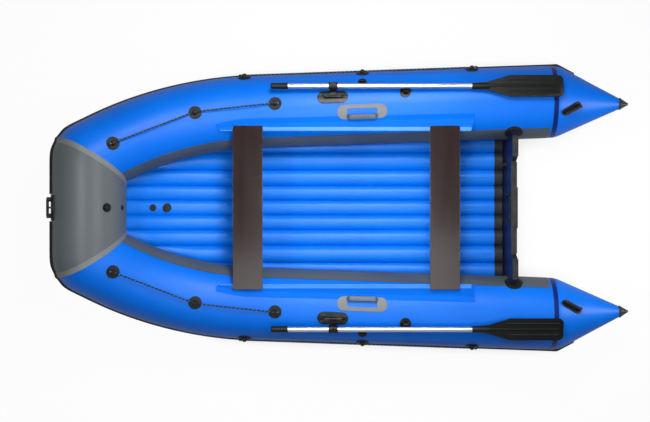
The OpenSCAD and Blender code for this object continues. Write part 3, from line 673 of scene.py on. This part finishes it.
def railPoint(x, share):  # share 0 at the bead, 1 at the tube, up to 2 at the end of the lap
    axis, ahead = tubeSection(x)
    skin = tube["radius"] + rail["skinGap"]
    off = Vector((x, rail["y"], rail["z"])) - axis
    slope = railWay.dot(ahead)
    square = 1 - slope * slope
    half = off.dot(railWay) - off.dot(ahead) * slope
    rest = off.length_squared - off.dot(ahead) ** 2 - skin * skin
    meet = off + railWay * (-half - math.sqrt(max(half * half - square * rest, 0.0))) / square
    if share <= 1:
        return axis + off.lerp(meet, share)
    lean = math.atan2(-meet.y, meet.z) - rail["lap"] / skin * (share - 1)
    ray = Vector((0, -math.sin(lean), math.cos(lean)))
    return axis + ray * skin / math.sqrt(1 - ray.dot(ahead) ** 2)


def railSheet():
    bm = bmesh.new()
    bmesh.ops.create_grid(bm, x_segments=90, y_segments=12, size=1.0)
    for vert in bm.verts:
        share = rail["from"] + (2.0 - rail["from"]) * (vert.co.y + 1) / 2
        reach = rail["slant"] * min(share, 1.0)
        x = rail["aft"] - reach + (rail["fore"] - rail["aft"] + 2 * reach) * (vert.co.x + 1) / 2
        vert.co = railPoint(x, share) + Vector((0, 0, rail["lift"]))
    bmesh.ops.recalc_face_normals(bm, faces=bm.faces)
    bmesh.ops.solidify(bm, geom=bm.faces[:], thickness=rail["thick"])
    return bm


def railTrim():  # the pale edge: a flat web and a round bead
    bm = bmesh.new()
    bmesh.ops.create_grid(bm, x_segments=70, y_segments=4, size=1.0)
    above = Vector((0, math.sin(rail["lean"]), math.cos(rail["lean"]))) * rail["paleLift"]
    for vert in bm.verts:
        across = (vert.co.y + 1) / 2
        along = (vert.co.x + 1) / 2
        x = rail["aft"] + (rail["fore"] - rail["paleEnd"] - rail["aft"]) * along
        vert.co = Vector((x, rail["y"], rail["z"])) + railWay * rail["paleWidth"] * across + above
    bmesh.ops.recalc_face_normals(bm, faces=bm.faces)
    bmesh.ops.solidify(bm, geom=bm.faces[:], thickness=rail["paleThick"])
    bead = bmesh.new()
    start = Matrix.Translation((rail["aft"] + rail["beadInset"], rail["y"], rail["z"]))
    bmesh.ops.create_circle(bead, segments=20, radius=rail["bead"],
                            matrix=start @ Matrix.Rotation(math.radians(90), 4, "Y"))
    pushOn(bead, bead.edges[:], (rail["fore"] - rail["aft"] - 2 * rail["beadInset"], 0, 0))
    capped(bead)
    return joined(bm, bead)


newPair("SeatRail", railSheet(), flangeSkin, ("_seat_rail",))
trim = railTrim()
newPiece("seatRailEdges", joined(trim, flipped(trim)), railSkin)
print("seat rails done")


# carry handles: a welded frame round a bare window, and a strap that stands up from its inner side
carry = {"x": -0.111, "tilt": math.radians(-9), "size": (0.283, 0.082), "window": (0.173, 0.037), "corner": 0.036,
         "windowCorner": 0.008, "thick": 0.0025, "strapTilt": math.radians(-16), "strapWidth": 0.024,
         "strapRise": 0.0225, "strapReach": 0.091, "strapFoot": 0.089, "strapRamp": 0.016, "strapGap": 0.0020,
         "strapThick": 0.0032, "crown": 0.0016, "dip": 0.0012, "dipReach": 0.07}


def onTube(x, tilt, along, across, height):  # a spot on the side tube: along it, round it, and off its skin
    centre = tubeSection(x)[0]
    turn = Matrix.Translation(centre) @ Matrix.Rotation(-tube["splay"], 4, "Z")
    angle = tilt + across / tube["radius"]
    reach = tube["radius"] + height
    return turn @ Vector((along, reach * math.sin(angle), reach * math.cos(angle)))


def roundedRing(bm, length, width, radius, count=72):  # a ring of edges round a box with round corners
    ring = bmesh.ops.create_circle(bm, segments=count, radius=1.0)["verts"]
    for vert in ring:
        angle = math.atan2(vert.co.y, vert.co.x)
        reach = 1.0 / max(abs(math.cos(angle)), abs(math.sin(angle)))
        spot = Vector((math.cos(angle) * reach * length / 2, math.sin(angle) * reach * width / 2))
        inner = Vector((max(-length / 2 + radius, min(length / 2 - radius, spot.x)),
                        max(-width / 2 + radius, min(width / 2 - radius, spot.y))))
        away = spot - inner
        vert.co = (*(inner + away.normalized() * radius if away.length > radius else spot), 0.0)
    return [e for e in bm.edges if all(v in ring for v in e.verts)]


def carryFrame():
    bm = bmesh.new()
    outer = roundedRing(bm, *carry["size"], carry["corner"])
    inner = roundedRing(bm, *carry["window"], carry["windowCorner"])
    bmesh.ops.bridge_loops(bm, edges=outer + inner)
    bmesh.ops.subdivide_edges(bm, edges=[e for e in bm.edges if not e.is_boundary], cuts=4, use_grid_fill=True)
    for vert in bm.verts:
        vert.co = onTube(carry["x"], carry["tilt"], vert.co.x, vert.co.y, carry["thick"])
    faceUp(bm)
    bmesh.ops.solidify(bm, geom=bm.faces[:], thickness=carry["thick"] * 0.9)
    return bm


def carryStrap():
    bm = bmesh.new()
    bmesh.ops.create_grid(bm, x_segments=80, y_segments=10, size=1.0)
    for vert in bm.verts:
        along = vert.co.x * carry["strapReach"]
        across = vert.co.y * carry["strapWidth"] / 2
        lift = min(max((carry["strapFoot"] - abs(along)) / carry["strapRamp"], 0.0), 1.0)
        rise = carry["strapRise"] * lift * lift * (3 - 2 * lift)
        crown = carry["crown"] * (1 - vert.co.y ** 2)
        dip = carry["dip"] * (1 - (along / carry["dipReach"]) ** 2) * lift
        vert.co = onTube(carry["x"], carry["strapTilt"], along, across, carry["strapGap"] + rise + crown - dip)
    faceUp(bm)
    bmesh.ops.solidify(bm, geom=bm.faces[:], thickness=carry["strapThick"])
    return bm


for side in ("port", "starboard"):
    frameBm, strapBm = carryFrame(), carryStrap()
    if side == "starboard":
        frameBm, strapBm = flipped(frameBm), flipped(strapBm)
    newPiece(side + "CarryFrame", frameBm, tapeSkin, (side + "_carry_handle",))
    newPiece(side + "CarryStrap", strapBm, greySkin)
print("carry handles done")


# lifelines: braided cord between the eyes, with a stopper knot at each end
cord = {"radius": 0.004, "ring": 14, "plaitDepth": 0.07, "step": 0.004, "plaitTwist": 52.0, "straight": 0.018,
        "overlap": 0.002, "knotGap": 0.021, "tail": 0.012, "wraps": ((-0.0034, 0.22), (0.0034, -0.18)),
        "wrapRadius": 0.95, "wrapReach": 1.1,
        "top": ((1.27431, 0.359837, 0.619565), (0.83558, 0.541586, 0.462129), (0.385083, 0.595417, 0.43083)),
        "outer": ((0.566805, 0.767114, 0.286851), (-0.116687, 0.791564, 0.28627), (-0.751687, 0.813738, 0.28627))}


def facing(start, end):  # a frame at start whose X axis points to end
    way = (end - start).to_track_quat("X", "Z").to_matrix().to_4x4()
    return Matrix.Translation(start) @ way


def cordSpan(start, end):
    bm = bmesh.new()
    length = (end - start).length
    steps = int(length / cord["step"])
    bmesh.ops.create_circle(bm, segments=cord["ring"], radius=cord["radius"],
                            matrix=Matrix.Rotation(math.radians(90), 4, "Y"))
    for k, vert in enumerate(bm.verts):
        vert.co *= 1.0 + (cord["plaitDepth"] if k % 2 else -cord["plaitDepth"])
    bmesh.ops.spin(bm, geom=bm.verts[:] + bm.edges[:], cent=(0, 0, 0), axis=(1, 0, 0),
                   dvec=(length / steps, 0, 0), angle=cord["plaitTwist"] * length, steps=steps)
    layer = bm.loops.layers.uv.new("cord")
    for face in bm.faces:
        turns = [math.atan2(loop.vert.co.z, loop.vert.co.y) / math.tau for loop in face.loops]
        for loop, turn in zip(face.loops, turns):
            loop[layer].uv = (turn + 1 if max(turns) - turn > 0.5 else turn, loop.vert.co.x)
    bmesh.ops.transform(bm, matrix=facing(start, end), verts=bm.verts)
    return bm


def stopperKnot(place, way):  # two leaning wraps
    bm = bmesh.new()
    layer = bm.loops.layers.uv.new("cord")
    for shift, lean in cord["wraps"]:
        aside = Matrix.Translation((0, cord["radius"] * cord["wrapReach"], 0))
        wrap = bmesh.ops.create_circle(bm, segments=10, radius=cord["radius"] * cord["wrapRadius"],
                                       matrix=aside)["verts"]
        edges = [e for e in bm.edges if all(v in wrap for v in e.verts)]
        bmesh.ops.spin(bm, geom=wrap + edges, cent=(0, 0, 0), axis=(1, 0, 0), angle=math.tau, steps=22,
                       use_merge=True)
        fresh = [v for v in bm.verts if not v.tag]
        bmesh.ops.rotate(bm, cent=(0, 0, 0), matrix=Matrix.Rotation(lean, 3, "Z"), verts=fresh)
        bmesh.ops.translate(bm, vec=(shift, 0, 0), verts=fresh)
        for vert in fresh:
            vert.tag = True
    for face in bm.faces:
        for loop in face.loops:
            spot = loop.vert.co
            loop[layer].uv = (math.atan2(spot.z, spot.y) / math.tau, math.atan2(spot.x, spot.y) * cord["radius"])
    bmesh.ops.transform(bm, matrix=facing(place, place + way), verts=bm.verts)
    return bm


def lifeline(points):  # knot, first eye, straight through the middle eye, last eye, knot
    run = (points[0] - points[2]).normalized() * cord["straight"]
    near, far = points[1] + run, points[1] - run
    first = (points[0] - near).normalized()
    last = (points[2] - far).normalized()
    startKnot = points[0] + first * cord["knotGap"]
    endKnot = points[2] + last * cord["knotGap"]
    bm = cordSpan(startKnot + first * cord["tail"], near)
    bm = joined(bm, cordSpan(near + first * cord["overlap"], far + last * cord["overlap"]))
    bm = joined(bm, cordSpan(endKnot + last * cord["tail"], far))
    bm = joined(bm, stopperKnot(startKnot, first))
    return joined(bm, stopperKnot(endKnot, last))


portLines = joined(*(lifeline([Vector(eye) for eye in cord[line]]) for line in ("top", "outer")))
newPair("Lifelines", portLines, cordBraid, ("_lifelines",), crease=180)
print("lifelines done")


# rigid parts keep their own solids' shape, with the edges eased
bothSides = ("port_", "starboard_")
eased = (
    {"material": blackRubber, "width": 0.0012, "members": (
        "transom_cap", "transom_holders", "stern_handles", "bow_handle",
        *(side + "lifeline_eyes" for side in bothSides))},
    {"material": capRubber, "width": 0.0012, "members": ("cone_caps",)},
    {"material": navyPly, "width": 0.0020, "members": ("transom",)},
    {"material": brownPly, "width": 0.0016, "members": ("fore_seat_board", "aft_seat_board")},
    {"material": silver, "width": 0.0006, "members": tuple(side + "oar_shaft" for side in bothSides)},
    {"material": blackPlastic, "width": 0.0012, "members": (
        "floor_valves", "motor_pads", "drain_valve", "fore_seat_channels", "aft_seat_channels",
        *(side + part for part in ("oarlock_base", "oarlock_swivel", "oarlock_collar", "oar_grip", "oar_blade")
          for side in bothSides), "oar_clips", "tube_valves")})
edges = {"flat": math.radians(0.4), "sharp": math.radians(38), "crease": 34.0, "segments": 2}


def easedNode(node, material, width):
    bm = bmesh.new()
    bm.from_mesh(nodes[node].data)
    bmesh.ops.remove_doubles(bm, verts=bm.verts, dist=1e-5)
    bmesh.ops.dissolve_limit(bm, angle_limit=edges["flat"], verts=bm.verts[:], edges=bm.edges[:])
    sharp = [e for e in bm.edges if e.is_manifold and e.calc_face_angle(0.0) > edges["sharp"]]
    bmesh.ops.bevel(bm, geom=sharp, offset=width, affect="EDGES", segments=edges["segments"], profile=0.5,
                    material=-1, clamp_overlap=True)
    first, *rest = node.split("_")
    name = first + "".join(word.capitalize() for word in rest)
    piece = newPiece(name, bm, material, (node,), bodyOf[node], edges["crease"])
    flat = piece.modifiers.new("flatFaces", "WEIGHTED_NORMAL")
    flat.keep_sharp = True


for group in eased:
    for node in group["members"]:
        easedNode(node, group["material"], group["width"])
print("rigid parts done")


# pale studio: white floor that keeps the shadow, white backdrop, and soft lamps close over the boat
studio = {"floorSize": 14.0, "floorTone": paint(246, 246, 246), "bounceTone": paint(70, 70, 72),
          "whiteShare": 0.955, "mirrorShare": 0.5, "white": (1.0, 1.0, 1.0, 1.0),
          "nookReach": 0.14, "nookShare": 0.6,  # contact shadow where the boat stands
          "worldTone": (0.95, 0.97, 1.0, 1.0), "worldLevel": 0.06, "worldMirror": 0.05}
lamps = {
    "key": {"place": (-0.25, -1.8, 3.1), "aim": (0.0, 0.0, 0.2), "size": 1.0, "power": 23.0, "spread": 95.0},
    "overhead": {"place": (-0.05, -0.1, 2.7), "aim": (-0.05, 0.0, 0.2), "size": 0.6, "power": 11.0, "spread": 150.0},
    "fill": {"place": (-0.1, 1.3, 3.4), "aim": (0.05, 0.1, 0.2), "size": 2.2, "power": 14.0, "spread": 130.0},
    "bow": {"place": (2.3, -0.1, 3.9), "aim": (1.4, 0.0, 0.5), "size": 0.7, "power": 8.0, "spread": 80.0},
    "stern": {"place": (-3.2, 0.0, 1.6), "aim": (-1.6, 0.0, 0.3), "size": 0.9, "power": 7.5, "spread": 70.0}}


def seenBy(wire):  # what the camera sees directly, and what it sees in gloss or through glass
    outs = wire.make("LightPath").socket.node.outputs
    kinds = ("Is Camera Ray", "Is Glossy Ray", "Is Transmission Ray")
    direct, gloss, through = (Wire(wire.tree, outs[kind]) for kind in kinds)
    return direct, gloss + through


ground = bmesh.new()
bmesh.ops.create_grid(ground, x_segments=8, y_segments=8, size=studio["floorSize"])
groundMesh = bpy.data.meshes.new("studioFloor")
ground.to_mesh(groundMesh)
ground.free()
groundPiece = bpy.data.objects.new("studioFloor", groundMesh)
scene.collection.objects.link(groundPiece)
floorPaint, floorShader, wire = newMaterial("studioWhite", {"Roughness": 0.9})
direct, mirrored = seenBy(wire)
wire.plug(floorShader.inputs["Base Color"], direct.pick(studio["bounceTone"], studio["floorTone"]))
glow = wire.make("Emission", None, {"Color": studio["white"], "Strength": 1.0})
nook = 1 - wire.make("AmbientOcclusion", {"samples": 16}, {"Distance": studio["nookReach"]}, out="AO")
white = direct * (studio["whiteShare"] - nook * studio["nookShare"])
mixed = wire.make("MixShader", None, {0: white + mirrored * studio["mirrorShare"],
                                      1: Wire(wire.tree, floorShader.outputs[0]), 2: glow})
wire.plug(floorPaint.node_tree.nodes["Material Output"].inputs["Surface"], mixed)
groundMesh.materials.append(floorPaint)

world = bpy.data.worlds.new("studioWorld")
scene.world = world
world.use_nodes = True
wire = Wire(world.node_tree)
direct, mirrored = seenBy(wire)
room = wire.make("Background", None, {"Color": studio["worldTone"], "Strength": studio["worldLevel"]})
backdrop = wire.make("Background", None, {"Color": studio["white"], "Strength": 1.0})
mixed = wire.make("MixShader", None, {0: direct + mirrored * studio["worldMirror"], 1: room, 2: backdrop})
wire.plug(world.node_tree.nodes["World Output"].inputs["Surface"], mixed)
for name, lamp in lamps.items():
    data = bpy.data.lights.new(name, "AREA")
    data.shape = "SQUARE"
    data.size = lamp["size"]
    data.energy = lamp["power"]
    data.spread = math.radians(lamp["spread"])
    light = bpy.data.objects.new(name, data)
    light.location = lamp["place"]
    light.rotation_euler = (Vector(lamp["aim"]) - Vector(lamp["place"])).to_track_quat("-Z", "Y").to_euler()
    light.visible_camera = False
    scene.collection.objects.link(light)
scene.view_settings.view_transform = "Standard"
print("studio done")
